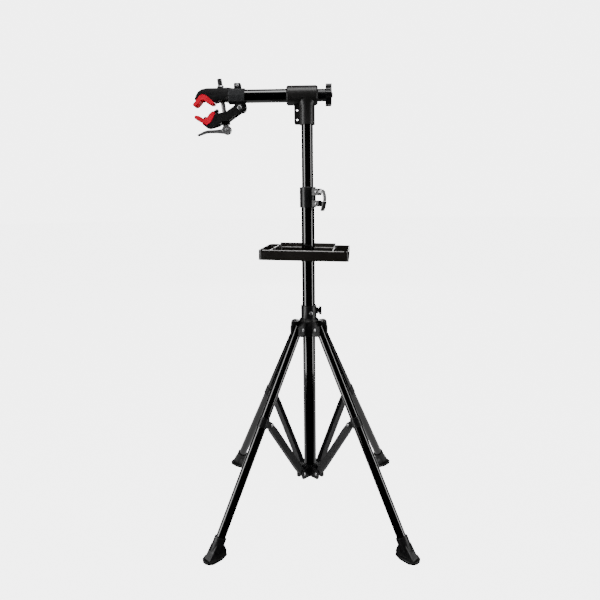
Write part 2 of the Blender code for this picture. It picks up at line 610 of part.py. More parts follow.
def make_jaw_fittings():
    """The fixed jaw's pad and fasteners, and the cup washer under the adjusting nut."""
    outer = mm((-334.5, 1294.5), (-322, 1308), (-314, 1318), (-306, 1321.5))
    outer += mm((-297, 1320.5), (-288, 1314), (-272, 1299.5))
    inner = mm((-271.5, 1297), (-274.5, 1294.5), (-283, 1294), (-294, 1300.5), (-303, 1307))
    inner += mm((-309, 1305.5), (-315.5, 1297), (-323, 1290.5), (-329.5, 1289), (-333.5, 1291))
    pad = plate("upper_pad", ARM, [outer + inner], PAD_WIDTH, in_arm(z=0), "red_rubber")
    bevel(pad, 0.0008)
    screw_x, screw_z = PINCH_SCREW
    headed_pin("pinch_screw", ARM, PINCH_LUG_HALF + GAP, 0.0025, 0.0045, 0.0030, in_arm(screw_x, 0, screw_z))
    pin_x, pin_z = JAW_PIVOT
    headed_pin("jaw_pin", ARM, JAW_HALF_WIDTH + GAP, 0.0040, 0.0064, 0.0022, in_arm(pin_x, 0, pin_z))
    washer = [(0.0095, 0.1245), (0.0105, 0.1215), (0.0075, 0.1215), (0.0050, 0.1245)]
    turned("nut_washer", ARM, washer, ARM_FRAME @ ROD_FRAME, "steel", FINE_STEPS, ring=True)


def make_lower_jaw():
    """The moving jaw: a fork on the pivot pin, a sweep down to the nose, its pad and the cam's seat."""
    pivot = Vector((JAW_PIVOT[0], 0, JAW_PIVOT[1]))
    body = joint_empty("jaw_pivot", at_post(*pivot), ARM)
    frame = Matrix.Translation(-pivot)
    fork = arc(JAW_PIVOT, 0.0105, -60, 115, 10)
    top = mm((-207.6, 1293), (-222, 1283), (-239, 1272), (-257.5, 1269.6), (-268, 1268.5), (-270, 1267.2))
    cradle = mm((-275.1, 1255.7), (-283.2, 1243), (-295.2, 1234.4), (-304.7, 1239.4), (-309, 1242.2))
    under = mm((-307, 1236.6), (-298, 1230), (-289, 1228.5), (-276, 1231.5))
    under += mm((-259, 1236.5), (-253.7, 1245.2), (-230.9, 1247.9), (-228, 1250.5))
    outline, across = fork + top + cradle + under, frame @ side_on()
    jaw = plate("lower_jaw", body, [outline], JAW_HALF_WIDTH * 2, across, "cast_grey")
    bevel(jaw, 0.0016)
    fork_half = JAW_EAR_HALF_WIDTH + 0.0005
    cut(jaw, box("lower_fork", body, (-0.2235, -fork_half, 1.26), (-0.17, fork_half, 1.31), frame))
    cut(jaw, rod("lower_pin_hole", body, 0.0044, -0.03, 0.03, side_on()))
    rod_frame = frame @ ROD_FRAME
    cut(jaw, box("lower_rod_slot", body, (-0.0085, -0.0072, 0.01), (0.0150, 0.0072, 0.07), rod_frame))
    pad_top = mm((-331.5, 1258), (-330, 1262), (-326, 1263.5), (-317, 1262), (-308, 1257), (-301.5, 1252.5))
    pad_top += mm((-294.5, 1258), (-286.5, 1267.5), (-278, 1274.5), (-273, 1274), (-270.3, 1269))
    pad_under = mm((-275.5, 1256), (-283.5, 1243.5), (-295.3, 1235))
    pad_under += mm((-304.5, 1240), (-314, 1246), (-324, 1251), (-330, 1254.5))
    pad = plate("lower_pad", body, [pad_top + pad_under], PAD_WIDTH, across, "red_rubber")
    bevel(pad, 0.0008)
    low, high = (-0.0115, -0.0110, CAM_R + GAP), (0.0115, 0.0110, 0.0230)
    seat = box("cam_seat", body, low, high, rod_frame, "black_plastic")
    bevel(seat, 0.0012)
    cut(seat, box("seat_slot", body, (-0.0045, -0.0046, 0.0), (0.02, 0.0046, 0.04), rod_frame))


def make_clamp_rod():
    """The rod through both jaws, its sleeve, the cam lever on its foot and the adjusting nut on its head."""
    rod_world = at_post() @ ROD_FRAME
    body = joint_empty("rod_slide", rod_world, ARM)
    across = facing(Y_AXIS)
    shank = rod("clamp_rod", body, SHANK_R, 0.0, 0.1265, finish="steel")
    join(shank, rod("rod_eye", body, 0.0062, -0.0040, 0.0040, across))
    cut(shank, rod("rod_eye_hole", body, PIN_HOLE_R, -0.02, 0.02, across))
    pipe("rod_sleeve", body, 0.0065, SHANK_R + GAP, 0.0440, 0.0920, finish="dark_steel", steps=FINE_STEPS)
    make_cam_lever(rod_world, body)
    headed_pin("cam_pin", body, CAM_HALF_WIDTH + GAP, PIN_R, 0.0048, 0.0016, across)
    nut_body = joint_empty("nut_turn", rod_world @ Matrix.Translation((0, 0, 0.1250)), ARM)
    bore, top = SHANK_R + GAP, 0.0200
    profile = [(0.0058, top), (0.0070, top - 0.0014), (0.0070, 0.0008), (0.0064, GAP), (bore, GAP), (bore, top)]
    turned("adjusting_nut", nut_body, profile, finish="black_plastic", steps=FINE_STEPS, ring=True)


def make_cam_lever(rod_world, rod_body):
    """Two cam cheeks and the bent sheet lever that joins them, pointing to the jaws' mouth."""
    body = joint_empty("cam_lever", at_post(CAM[0], 0, CAM[1]), rod_body)
    cheek = circle((0, 0), CAM_R, STEPS)
    lever = plate("cam_lever", body, [cheek], CAM_HALF_WIDTH * 2, side_on(), "dark_steel")
    blade_top = mm((-5, 2.5), (-30, 0), (-56, -1), (-66, -3.5), (-88, -13.5))
    blade_under = mm((-86.5, -16.5), (-64, -9), (-56, -8), (-30, -8), (-8, -10.5))
    join(lever, plate("lever_blade", body, [blade_top + blade_under], 0.0200, side_on()))
    cheek_gap = 0.0044
    cut(lever, box("cam_gap", body, (-0.0150, -cheek_gap, -0.02), (0.03, cheek_gap, 0.02)))
    cut(lever, rod("cam_hole", body, PIN_HOLE_R, -0.03, 0.03, facing(Y_AXIS)))


# ---- Tray ----
TRAY_SLIDE = joint_empty("tray_slide", at_post(z=TRAY_BOTTOM), POST)
TRAY = joint_empty("tray_turn", at_post(z=TRAY_BOTTOM), TRAY_SLIDE)


def make_tray_collar():
    """The sleeve that the tray turns on, the nut over it and the thumbscrew that locks it on the post."""
    bore, skirt_r, neck_r, flange_r = POST_R + GAP, 0.0265, 0.0240, 0.0310
    skirt_bottom, flange_low, flange_high, neck_top = -0.0140, -0.0035, -GAP, 0.0130
    profile = [(neck_r, neck_top), (neck_r, flange_high), (flange_r, flange_high), (flange_r, flange_low)]
    profile += [(skirt_r, flange_low), (skirt_r, skirt_bottom), (bore, skirt_bottom), (bore, neck_top)]
    collar = turned("tray_collar", TRAY_SLIDE, profile, finish="black_plastic", ring=True)
    screw_frame = facing(Y_AXIS, (0, 0, TRAY_SCREW_Z))
    cut(collar, rod("tray_screw_hole", TRAY_SLIDE, 0.0029, 0.01, 0.05, screw_frame))
    nut_low = TRAY_WALL + GAP
    pipe("tray_nut", TRAY_SLIDE, 0.0290, neck_r + GAP, nut_low, nut_low + 0.0080, finish="black_plastic")
    screw_world = at_post(z=TRAY_BOTTOM + TRAY_SCREW_Z) @ facing(Y_AXIS)
    screw_body = joint_empty("tray_screw_turn", screw_world, TRAY_SLIDE)
    head_start, head_end, head_r, shank_r, shank_end = 0.0270, 0.0380, 0.0055, 0.0025, 0.0206
    knob = [(0, head_end), (head_r - 0.0015, head_end), (head_r, head_end - 0.0015), (head_r, head_start)]
    knob += [(shank_r, head_start), (shank_r, shank_end), (0, shank_end)]
    turned("tray_thumbscrew", screw_body, knob, finish="black_plastic", steps=FINE_STEPS)


def make_tray():
    """A shallow tray with a wide middle well, a narrow one at each end and a raised back edge."""
    width, depth, height = TRAY_SIZE
    turn = Matrix.Rotation(TRAY_TURN, 4, "Z") @ Matrix.Translation((TRAY_SHIFT, 0, 0))
    half_x, half_y = width / 2, depth / 2
    outline = rounded(rectangle(-half_x, -half_y, half_x, half_y), 0.012, 5)
    standing = turn @ Matrix.Translation((0, 0, height / 2))
    tray = plate("tray", TRAY, [outline], height, standing, "tray_plastic")
    left_rib, right_rib, rib, ridge_deep = -0.0970, 0.0850, 0.0015, 0.0080
    low = (left_rib, half_y - ridge_deep, height - 0.0060)
    high = (right_rib, half_y - 0.0004, height + 0.0050)
    join(tray, box("tray_back_edge", TRAY, low, high, turn))
    inner_x, inner_y = half_x - TRAY_WALL, half_y - TRAY_WALL
    wells = {
        "left": (-inner_x, left_rib - rib),
        "middle": (left_rib + rib, right_rib - rib),
        "right": (right_rib + rib, inner_x),
    }
    for name, (x0, x1) in wells.items():
        well = rounded(rectangle(x0, -inner_y, x1, inner_y), 0.009, 4)
        frame = turn @ Matrix.Translation((0, 0, TRAY_WALL + 0.02))
        cut(tray, plate(f"tray_well_{name}", TRAY, [well], 0.04, frame))
    cut(tray, rod("tray_post_hole", TRAY, 0.0244, -0.01, 0.01, steps=STEPS))


make_lower_tube()
make_lower_collar()
make_hub()
make_hub_fittings()
for leg_name, leg_azimuth in LEG_AZIMUTHS.items():
    make_leg(leg_name, leg_azimuth)
make_mast_collar()
make_mast_fittings()
make_mast_lever()
make_mast()
make_tee_joint()
make_arm()
make_star_knob()
make_upper_jaw()
make_jaw_fittings()
make_lower_jaw()
make_clamp_rod()
make_tray_collar()
make_tray()
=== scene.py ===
"""Looks for the portable bicycle repair stand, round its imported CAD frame. Metres, +Z up, clamp to -X."""

import json
import math

import bmesh
import bpy
from mathutils import Matrix, Vector


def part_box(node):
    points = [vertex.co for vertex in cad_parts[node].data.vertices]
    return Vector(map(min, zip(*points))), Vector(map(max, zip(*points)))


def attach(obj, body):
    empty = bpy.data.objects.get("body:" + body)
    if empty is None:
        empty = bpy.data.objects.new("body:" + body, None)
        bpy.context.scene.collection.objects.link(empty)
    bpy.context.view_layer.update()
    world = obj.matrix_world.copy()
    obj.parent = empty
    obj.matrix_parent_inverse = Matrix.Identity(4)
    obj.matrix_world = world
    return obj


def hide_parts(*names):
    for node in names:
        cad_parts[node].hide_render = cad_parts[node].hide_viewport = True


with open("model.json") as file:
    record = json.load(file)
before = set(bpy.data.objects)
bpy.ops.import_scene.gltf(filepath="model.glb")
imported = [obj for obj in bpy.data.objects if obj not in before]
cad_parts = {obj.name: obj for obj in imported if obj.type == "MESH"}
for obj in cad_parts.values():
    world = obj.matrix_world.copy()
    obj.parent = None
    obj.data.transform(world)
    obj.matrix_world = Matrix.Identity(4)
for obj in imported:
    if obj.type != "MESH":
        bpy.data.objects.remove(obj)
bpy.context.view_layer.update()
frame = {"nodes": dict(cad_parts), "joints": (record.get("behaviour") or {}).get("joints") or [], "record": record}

# ---- Places and sizes ----
RECORD = frame["record"]
BODY_OF = {node: body for body, nodes in RECORD["behaviour"]["bodies"].items() for node in nodes}
SLOT_OF = {part["node"]: part["material_slot"] for part in RECORD["subparts"]}
JOINTS = {joint["name"]: joint for joint in frame["joints"]}
X_AXIS, Y_AXIS, Z_AXIS = Vector((1, 0, 0)), Vector((0, 1, 0)), Vector((0, 0, 1))


def middle(node):
    low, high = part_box(node)
    return (low + high) / 2


def radius_of(node):
    """The radius of an upright round node."""
    low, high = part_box(node)
    return (high.x - low.x) / 2


GAP = 0.0003
POST_X = middle("lower_tube").x
LEG_AZIMUTHS = {"front_left": 225, "front_right": 315, "rear_right": 45, "rear_left": 135}
LEG_LEAN = math.radians(29.8)
LEG_TUBE = (-0.6920, 0.0080)     # along the leg from its pivot
LEG_R, LEG_BORE = 0.0140, 0.0122
ARM_Z = JOINTS["arm_turn"]["pos_m"][2]
JAW_PIVOT = Vector(JOINTS["jaw_pivot"]["pos_m"])
CAM_PIVOT = Vector(JOINTS["cam_lever_swing"]["pos_m"])
ROD_AXIS = Vector(JOINTS["rod_slide"]["axis"])
LUG_AZIMUTH = math.radians(-38)
TRAY_TURN, TRAY_LEAN, TRAY_GROWTH = math.radians(-5), math.radians(1.3), 1.11
TRAY_SHIFT, TRAY_HALF_DEPTH, TRAY_HEIGHT = -0.0055, 0.1150, 0.0265
TRAY_RIBS = (-0.0970, 0.0850)
TRAY_BOTTOM = JOINTS["tray_turn"]["pos_m"][2]
FLOOR_GLOW, WORLD_GLOW = 4.8, 5.0


# ---- Shape helpers ----
def facing(axis, at=(0, 0, 0)):
    """A frame at a point, with its Z along the axis."""
    return Matrix.Translation(at) @ Vector(axis).to_track_quat("Z", "Y").to_matrix().to_4x4()


def side_on(at=(0, 0, 0)):
    """A frame whose X and Y are the world's X and Z."""
    return Matrix.Translation(at) @ Matrix.Rotation(math.radians(90), 4, "X")


def at_post(x=0.0, y=0.0, z=0.0):
    return Matrix.Translation((POST_X + x, y, z))


def azimuth_frame(azimuth):
    return at_post() @ Matrix.Rotation(azimuth, 4, "Z")


def leg_frame(name):
    """The leg's own frame: origin on its pivot, Z up along the tube, X away from the post."""
    pivot = Vector(JOINTS[f"leg_{name}"]["pos_m"])
    turn = Matrix.Rotation(math.radians(LEG_AZIMUTHS[name]), 4, "Z")
    return Matrix.Translation(pivot) @ turn @ Matrix.Rotation(-LEG_LEAN, 4, "Y")


def tray_set():
    """The tray hangs a degree low on its right, and its moulded rim stands a little over the CAD's."""
    pivot = at_post(z=TRAY_BOTTOM)
    growth = Matrix.Diagonal((1, 1, TRAY_GROWTH, 1))
    return pivot @ Matrix.Rotation(TRAY_LEAN, 4, "Y") @ growth @ pivot.inverted()


def arc(centre, radius, start, end, count):
    angles = [math.radians(start + (end - start) * i / (count - 1)) for i in range(count)]
    return [(centre[0] + radius * math.cos(a), centre[1] + radius * math.sin(a)) for a in angles]


def ring_points(radius, count):
    return arc((0, 0), radius, 0, 360 * (count - 1) / count, count)


def object_from(name, shape, matrix):
    """A new object from a bmesh, in place and smooth where its faces meet at less than 35 degrees."""
    bmesh.ops.recalc_face_normals(shape, faces=shape.faces)
    mesh = bpy.data.meshes.new(name)
    shape.to_mesh(mesh)
    shape.free()
    mesh.transform(matrix)
    mesh.shade_smooth()
    mesh.set_sharp_from_angle(angle=math.radians(35))
    obj = bpy.data.objects.new(name, mesh)
    bpy.context.scene.collection.objects.link(obj)
    return obj


def turned(name, profile, matrix, steps=64, ring=False):
    """A shape turned about its own Z, from (radius, height) pairs."""
    shape = bmesh.new()
    points = [shape.verts.new((radius, 0, height)) for radius, height in profile]
    pairs = list(zip(points, points[1:])) + ([(points[-1], points[0])] if ring else [])
    lines = [shape.edges.new(pair) for pair in pairs]
    bmesh.ops.spin(shape, geom=points + lines, axis=(0, 0, 1), cent=(0, 0, 0), angle=math.tau,
                   steps=steps, use_merge=True)
    bmesh.ops.remove_doubles(shape, verts=shape.verts, dist=1e-6)
    return object_from(name, shape, matrix)


def extruded(name, outline, thickness, matrix, bevel=0.0, segments=3):
    """A flat outline made a prism, centred on its plane, with round edges."""
    shape = bmesh.new()
    base = [shape.verts.new((x, y, -thickness / 2)) for x, y in outline]
    face = shape.faces.new(base)
    grown = bmesh.ops.extrude_face_region(shape, geom=[face])
    moved = [v for v in grown["geom"] if isinstance(v, bmesh.types.BMVert)]
    bmesh.ops.translate(shape, vec=(0, 0, thickness), verts=moved)
    obj = object_from(name, shape, matrix)
    if bevel:
        soften(obj, bevel, segments)
    return obj


def soften(obj, width, segments=2, angle=33):
    """Rounds the edges, and keeps flat faces flat."""
    modifier = obj.modifiers.new("Edges", "BEVEL")
    modifier.width = width
    modifier.segments = segments
    modifier.limit_method = "ANGLE"
    modifier.angle_limit = math.radians(angle)
    modifier.harden_normals = True
    modifier.use_clamp_overlap = True
    return obj


def cut(obj, cutter):
    """Subtracts the cutter from the object's mesh for good."""
    modifier = obj.modifiers.new("Cut", "BOOLEAN")
    modifier.operation = "DIFFERENCE"
    modifier.object = cutter
    graph = bpy.context.evaluated_depsgraph_get()
    mesh = bpy.data.meshes.new_from_object(obj.evaluated_get(graph))
    obj.modifiers.clear()
    obj.data = mesh
    bpy.data.objects.remove(cutter)
    return obj


def refined(node, width=0.0005, segments=2):
    """A copy of a CAD node with welded faces and rounded edges."""
    shape = bmesh.new()
    shape.from_mesh(frame["nodes"][node].data)
    bmesh.ops.remove_doubles(shape, verts=shape.verts, dist=2e-6)
    bmesh.ops.dissolve_limit(shape, angle_limit=math.radians(0.6), verts=shape.verts, edges=shape.edges)
    obj = object_from(node + "_skin", shape, Matrix())
    if width:
        soften(obj, width, segments)
    return obj


# ---- Materials ----
def link(material, source, target):
    material.node_tree.links.new(source, target)


def noise(material, coordinates, scale, detail=4.0, stretch=(1, 1, 1), rough=0.55):
    nodes = material.node_tree.nodes
    mapping = nodes.new("ShaderNodeMapping")
    mapping.inputs["Scale"].default_value = stretch
    link(material, coordinates, mapping.inputs["Vector"])
    texture = nodes.new("ShaderNodeTexNoise")
    texture.inputs["Scale"].default_value = scale
    texture.inputs["Detail"].default_value = detail
    texture.inputs["Roughness"].default_value = rough
    link(material, mapping.outputs["Vector"], texture.inputs["Vector"])
    return texture.outputs["Fac"]


def ramp(material, source, stops):
    """A colour ramp: (position, colour) pairs."""
    node = material.node_tree.nodes.new("ShaderNodeValToRGB")
    elements = node.color_ramp.elements
    while len(elements) < len(stops):
        elements.new(0.5)
    for element, (position, colour) in zip(elements, stops):
        element.position = position
        element.color = (*colour, 1)
    link(material, source, node.inputs["Fac"])
    return node.outputs["Color"]


def spread(material, source, low, high, out_low, out_high):
    node = material.node_tree.nodes.new("ShaderNodeMapRange")
    for socket, value in zip(("From Min", "From Max", "To Min", "To Max"), (low, high, out_low, out_high)):
        node.inputs[socket].default_value = value
    link(material, source, node.inputs["Value"])
    return node.outputs["Result"]


def mixed(material, factor, first, second):
    node = material.node_tree.nodes.new("ShaderNodeMix")
    node.data_type = "RGBA"
    link(material, factor, node.inputs["Factor"])
    for value, socket in ((first, node.inputs[6]), (second, node.inputs[7])):
        if isinstance(value, tuple):
            socket.default_value = (*value, 1)
        else:
            link(material, value, socket)
    return node.outputs[2]


def bumped(material, source, strength, distance, under=None):
    node = material.node_tree.nodes.new("ShaderNodeBump")
    node.inputs["Strength"].default_value = strength
    node.inputs["Distance"].default_value = distance
    link(material, source, node.inputs["Height"])
    if under:
        link(material, under, node.inputs["Normal"])
    return node.outputs["Normal"]


def surface(name, dark, light, gloss, metallic=0.0, coat=0.0, patches=16.0, grain=900.0, grain_bump=0.1,
            lumps=None, lump_bump=0.2, stretch=(1, 1, 1), specks=None, dust=None, specular=0.5):
    """A worked surface. gloss is the (low, high) roughness; lumps a coarser bump's scale; specks
    (colour, share) light flecks; dust (colour, share) a soft film in patches."""
    material = bpy.data.materials.new(name)
    material.use_nodes = True
    nodes = material.node_tree.nodes
    shader = nodes["Principled BSDF"]
    shader.inputs["Metallic"].default_value = metallic
    shader.inputs["Coat Weight"].default_value = coat
    shader.inputs["Coat Roughness"].default_value = 0.06
    shader.inputs["Specular IOR Level"].default_value = specular
    place = nodes.new("ShaderNodeTexCoord").outputs["Object"]
    broad = noise(material, place, patches, 6.0, stretch)
    fine = noise(material, place, grain, 3.0, stretch, 0.7)
    colour = ramp(material, broad, [(0.32, dark), (0.68, light)])
    if specks:
        fleck_colour, share = specks
        flecks = noise(material, place, grain * 0.7, 2.0, (1, 1, 1), 0.4)
        mask = spread(material, flecks, 1 - share, 1 - share + 0.04, 0, 1)
        colour = mixed(material, mask, colour, fleck_colour)
    if dust:
        dust_colour, share = dust
        film = noise(material, place, patches * 2.6, 8.0, (1, 1, 1), 0.7)
        colour = mixed(material, spread(material, film, 1 - share, 1.0, 0, 0.6), colour, dust_colour)
    link(material, colour, shader.inputs["Base Color"])
    rough_source = noise(material, place, patches * 3.1, 7.0, stretch, 0.65)
    link(material, spread(material, rough_source, 0.3, 0.7, *gloss), shader.inputs["Roughness"])
    normal = bumped(material, fine, grain_bump, 0.0004)
    if lumps:
        normal = bumped(material, noise(material, place, lumps, 3.0), lump_bump, 0.0015, normal)
    link(material, normal, shader.inputs["Normal"])
    return material


BLACK_BROWN = (0.0125, 0.0108, 0.0094)
MATERIALS = {
    "tube_gloss_black": surface("tube_gloss_black", (0.0008, 0.0008, 0.0010), (0.0020, 0.0019, 0.0019),
                                (0.10, 0.15), coat=1.0, patches=9, grain=260, grain_bump=0.0008, specular=0.6,
                                specks=((0.006, 0.006, 0.006), 0.27)),
    "hub_casting": surface("hub_casting", (0.0060, 0.0060, 0.0064), (0.0110, 0.0110, 0.0114), (0.26, 0.38),
                           patches=30, grain=1100, grain_bump=0.05, lumps=200, lump_bump=0.02, specular=0.55,
                           dust=((0.022, 0.022, 0.022), 0.36)),
    "brace_paint": surface("brace_paint", (0.024, 0.024, 0.025), (0.042, 0.042, 0.043), (0.38, 0.52),
                           patches=24, grain=1100, grain_bump=0.05, specular=0.4,
                           specks=((0.080, 0.080, 0.083), 0.30)),
    "tee_casting": surface("tee_casting", (0.0105, 0.0100, 0.0097), (0.0165, 0.0158, 0.0154), (0.34, 0.44),
                           patches=26, grain=1300, grain_bump=0.06, lumps=300, lump_bump=0.02, specular=0.55,
                           specks=((0.035, 0.035, 0.035), 0.28)),
    "jaw_casting": surface("jaw_casting", (0.0042, 0.0042, 0.0046), (0.0085, 0.0085, 0.0090), (0.38, 0.52),
                           patches=34, grain=1300, grain_bump=0.07, lumps=360, lump_bump=0.03, specular=0.45,
                           specks=((0.026, 0.026, 0.027), 0.28)),
    "jaw_pad": surface("jaw_pad", (0.72, 0.0006, 0.022), (0.97, 0.0020, 0.040), (0.46, 0.60), patches=42,
                       grain=1500, grain_bump=0.05, lumps=240, lump_bump=0.03, specular=0.16),
    "foot_rubber": surface("foot_rubber", (0.0030, 0.0030, 0.0032), (0.0085, 0.0085, 0.0088), (0.34, 0.54),
                           patches=36, grain=1300, grain_bump=0.08, specular=0.5,
                           dust=((0.030, 0.029, 0.028), 0.40)),
    "black_plastic": surface("black_plastic", (0.0035, 0.0035, 0.0038), (0.0075, 0.0075, 0.0078),
                             (0.24, 0.38), patches=40, grain=1500, grain_bump=0.06, specular=0.6),
    "tray_plastic": surface("tray_plastic", BLACK_BROWN, (0.0200, 0.0176, 0.0154), (0.26, 0.38), patches=18,
                            grain=1200, grain_bump=0.07, lumps=420, lump_bump=0.02, specular=0.6,
                            dust=((0.022, 0.020, 0.018), 0.34)),
    # Pale grey for the tray's front bead and back step is a painted highlight: the light lines along the tray's
    # rims are put into their colour.
    "tray_painted_highlight": surface("tray_painted_highlight", (0.40, 0.395, 0.385), (0.60, 0.59, 0.58), (0.30, 0.44), patches=50,
                        grain=900, grain_bump=0.05, specular=0.5),
    "socket_skin": surface("socket_skin", (0.017, 0.0176, 0.019), (0.030, 0.0306, 0.033), (0.36, 0.50),
                           patches=60, grain=1000, grain_bump=0.12, lumps=300, lump_bump=0.05, specular=0.5,
                           specks=((0.10, 0.10, 0.105), 0.36)),
    "bright_steel": surface("bright_steel", (0.50, 0.50, 0.51), (0.66, 0.66, 0.67), (0.22, 0.34),
                            metallic=0.75, patches=60, grain=700, grain_bump=0.02, stretch=(1, 1, 6)),
    "dark_steel": surface("dark_steel", (0.24, 0.24, 0.245), (0.38, 0.38, 0.385), (0.24, 0.36), metallic=0.6,
                          patches=70, grain=700, grain_bump=0.03, stretch=(5, 1, 1)),
}


def finish(piece, body, slot, look=None):
    """Gives a piece its material and the CAD body that it moves with."""
    piece.data.materials.clear()
    piece.data.materials.append(MATERIALS[look or slot])
    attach(piece, body)
    return piece


def stand_for(piece, node, slot=None):
    """The piece takes a CAD node's place."""
    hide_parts(node)
    return finish(piece, BODY_OF[node], slot or SLOT_OF[node])


# ---- Tubes ----
def smooth_tube(node, radius, bore, low, high, matrix):
    lip = 0.0004
    profile = [(radius - lip, high), (radius, high - lip), (radius, low + lip), (radius - lip, low),
               (bore + lip, low), (bore, low + lip), (bore, high - lip), (bore + lip, high)]
    return stand_for(turned(node + "_round", profile, matrix, 96, ring=True), node)


def make_tubes():
    for node, bore in (("lower_tube", 0.0188), ("upper_tube", 0.0158)):
        low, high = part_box(node)
        smooth_tube(node, radius_of(node), bore, low.z, high.z, at_post())
    low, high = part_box("arm_tube")
    smooth_tube("arm_tube", (high.z - low.z) / 2, 0.0170, low.x, high.x, facing(X_AXIS, (0, 0, ARM_Z)))
    for name in LEG_AZIMUTHS:
        smooth_tube(f"leg_{name}", LEG_R, LEG_BORE, *LEG_TUBE, leg_frame(name))
        make_leg_cap(name)


def make_leg_cap(name):
    """The plastic plug in a leg's top end, with a domed cap."""
    top, cap_r = LEG_TUBE[1], LEG_R - 0.0006
    profile = [(0, top + 0.0020), (cap_r * 0.7, top + 0.0017)]
    profile += [(cap_r - 0.0008, top + 0.0010), (cap_r, top + GAP)]
    profile += [(LEG_BORE - GAP, top + GAP), (LEG_BORE - GAP, top - 0.0035), (0, top - 0.0035)]
    finish(turned(f"leg_cap_{name}", profile, leg_frame(name)), f"leg_{name}", "black_plastic")


# ---- Castings and other nodes that keep their CAD shape ----
EDGE_ROUNDING = {"upper_jaw": 0.0007, "lower_jaw": 0.0007, "tee_joint": 0.0008, "hub": 0.0007}


def make_castings():
    """Every node that nothing has replaced yet gets its rounded copy."""
    for node, obj in frame["nodes"].items():
        if not obj.hide_render:
            stand_for(refined(node, EDGE_ROUNDING.get(node, 0.0005)), node)


# ---- Knobs ----
def make_star_knob():
    low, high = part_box("star_knob")
    thick, lobes, mean_r, swing, count = high.x - low.x, 6, 0.0300, 0.0030, 180
    angles = [math.tau * i / count for i in range(count)]
    radii = [mean_r + swing * math.cos(lobes * a) for a in angles]
    outline = [(r * math.cos(a), r * math.sin(a)) for a, r in zip(angles, radii)]
    place = facing(X_AXIS, ((low.x + high.x) / 2, 0, ARM_Z))
    knob = extruded("star_knob_skin", outline, thick, place)
    hole = turned("star_hole", [(0, 0.02), (0.0053, 0.02), (0.0053, -0.02), (0, -0.02)], place, 48)
    cut(knob, hole)
    dish = turned("star_dish", [(0, 0.0200), (0.0210, 0.0200), (0.0190, 0.0066), (0, 0.0066)], place, 96)
    cut(knob, dish)
    soften(knob, 0.0022, 4)
    stand_for(knob, "star_knob")


def knurled(name, node, profile_radius, low, high, bore, matrix, ribs=18):
    """A small round knob with a ribbed rim."""
    count = ribs * 6
    angles = [math.tau * i / count for i in range(count)]
    radii = [profile_radius - 0.0004 * (0.5 - 0.5 * math.cos(ribs * a)) for a in angles]
    outline = [(r * math.cos(a), r * math.sin(a)) for a, r in zip(angles, radii)]
    knob = extruded(name, outline, high - low, matrix @ Matrix.Translation((0, 0, (low + high) / 2)))
    if bore:
        cut(knob, turned("bore", [(0, high + 0.01), (bore, high + 0.01), (bore, low - 0.01), (0, low - 0.01)],
                         matrix, 32))
    soften(knob, 0.0008, 2)
    return stand_for(knob, node)


def make_small_knobs():
    nut_at = Vector(JOINTS["nut_turn"]["pos_m"])
    knurled("adjusting_nut_skin", "adjusting_nut", 0.0070, GAP, 0.0199, 0.0033, facing(ROD_AXIS, nut_at), 14)
    screw = JOINTS["tray_screw_turn"]["pos_m"]
    place = facing(Y_AXIS, (screw[0], 0, screw[2]))
    knurled("tray_thumbscrew_skin", "tray_thumbscrew", 0.0055, 0.0270, 0.0380, 0, place, 14)
    bar = [(0, 0.0274), (0.0025, 0.0274), (0.0025, 0.0206), (0, 0.0206)]
    shank = turned("tray_screw_shank", bar, place, 32)
    finish(shank, BODY_OF["tray_thumbscrew"], "bright_steel")


# ---- Fasteners ----
def hex_points(across_flats):
    return ring_points(across_flats / math.sqrt(3), 6)


def domed_head(start, radius, height):
    """The profile of a domed head, from its centre down to its rim at height start."""
    return [(radius * math.sin(a), start + height * (0.25 + 0.75 * math.cos(a)))
            for a in (math.radians(15 * i) for i in range(7))] + [(radius, start)]


def socket_pin(node, place, half_length, shank, head_r, head, sockets=(1, -1)):
    """A pin with a domed head on each end, and a hexagonal socket in the heads named."""
    side = domed_head(half_length, head_r, head) + [(shank, half_length)]
    pin = turned(node + "_skin", side + [(r, -z) for r, z in reversed(side)], place, 48)
    for end in sockets:
        depth = head * 0.62
        centre = end * (half_length + head - depth / 2 + 0.0002)
        hole = extruded("socket", hex_points(head_r * 0.95), depth + 0.0004,
                        place @ Matrix.Translation((0, 0, centre)))
        cut(pin, hole)
    pin.data.shade_smooth()
    pin.data.set_sharp_from_angle(angle=math.radians(35))
    return stand_for(pin, node)


def make_pins():
    for name, degrees in LEG_AZIMUTHS.items():
        across = Matrix.Rotation(math.radians(degrees), 4, "Z").to_3x3() @ Y_AXIS
        hub_at, brace_at = JOINTS[f"leg_{name}"]["pos_m"], JOINTS[f"brace_{name}"]["pos_m"]
        socket_pin(f"hub_pin_{name}", facing(across, hub_at), 0.0221, 0.0030, 0.0060, 0.0024)
        socket_pin(f"brace_pin_{name}", facing(across, brace_at), 0.0136, 0.0030, 0.0052, 0.0020)
    for node in ("mast_skewer", "mast_screw"):
        across = Matrix.Rotation(LUG_AZIMUTH, 4, "Z").to_3x3() @ Y_AXIS
        socket_pin(node, facing(across, middle(node)), 0.0098, 0.0025, 0.0045, 0.0024)
    socket_pin("pinch_screw", facing(Y_AXIS, middle("pinch_screw")), 0.0103, 0.0025, 0.0045, 0.0030)
    socket_pin("jaw_pin", facing(Y_AXIS, JAW_PIVOT), 0.0203, 0.0040, 0.0064, 0.0022)
    socket_pin("cam_pin", facing(Y_AXIS, CAM_PIVOT), 0.0115, 0.0030, 0.0048, 0.0016)


def make_hub_screw():
    low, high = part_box("hub_screw")
    out = Vector((0.26, -0.966, 0)).normalized()
    place = facing(out, (POST_X, 0, (low.z + high.z) / 2))
    screw = turned("hub_screw_skin", domed_head(0.0248, 0.0060, 0.0027) + [(0, 0.0248)], place, 56)
    hole = extruded("socket", hex_points(0.0052), 0.0024, place @ Matrix.Translation((0, 0, 0.0270)))
    cut(screw, hole)
    screw.data.shade_smooth()
    screw.data.set_sharp_from_angle(angle=math.radians(35))
    stand_for(screw, "hub_screw")


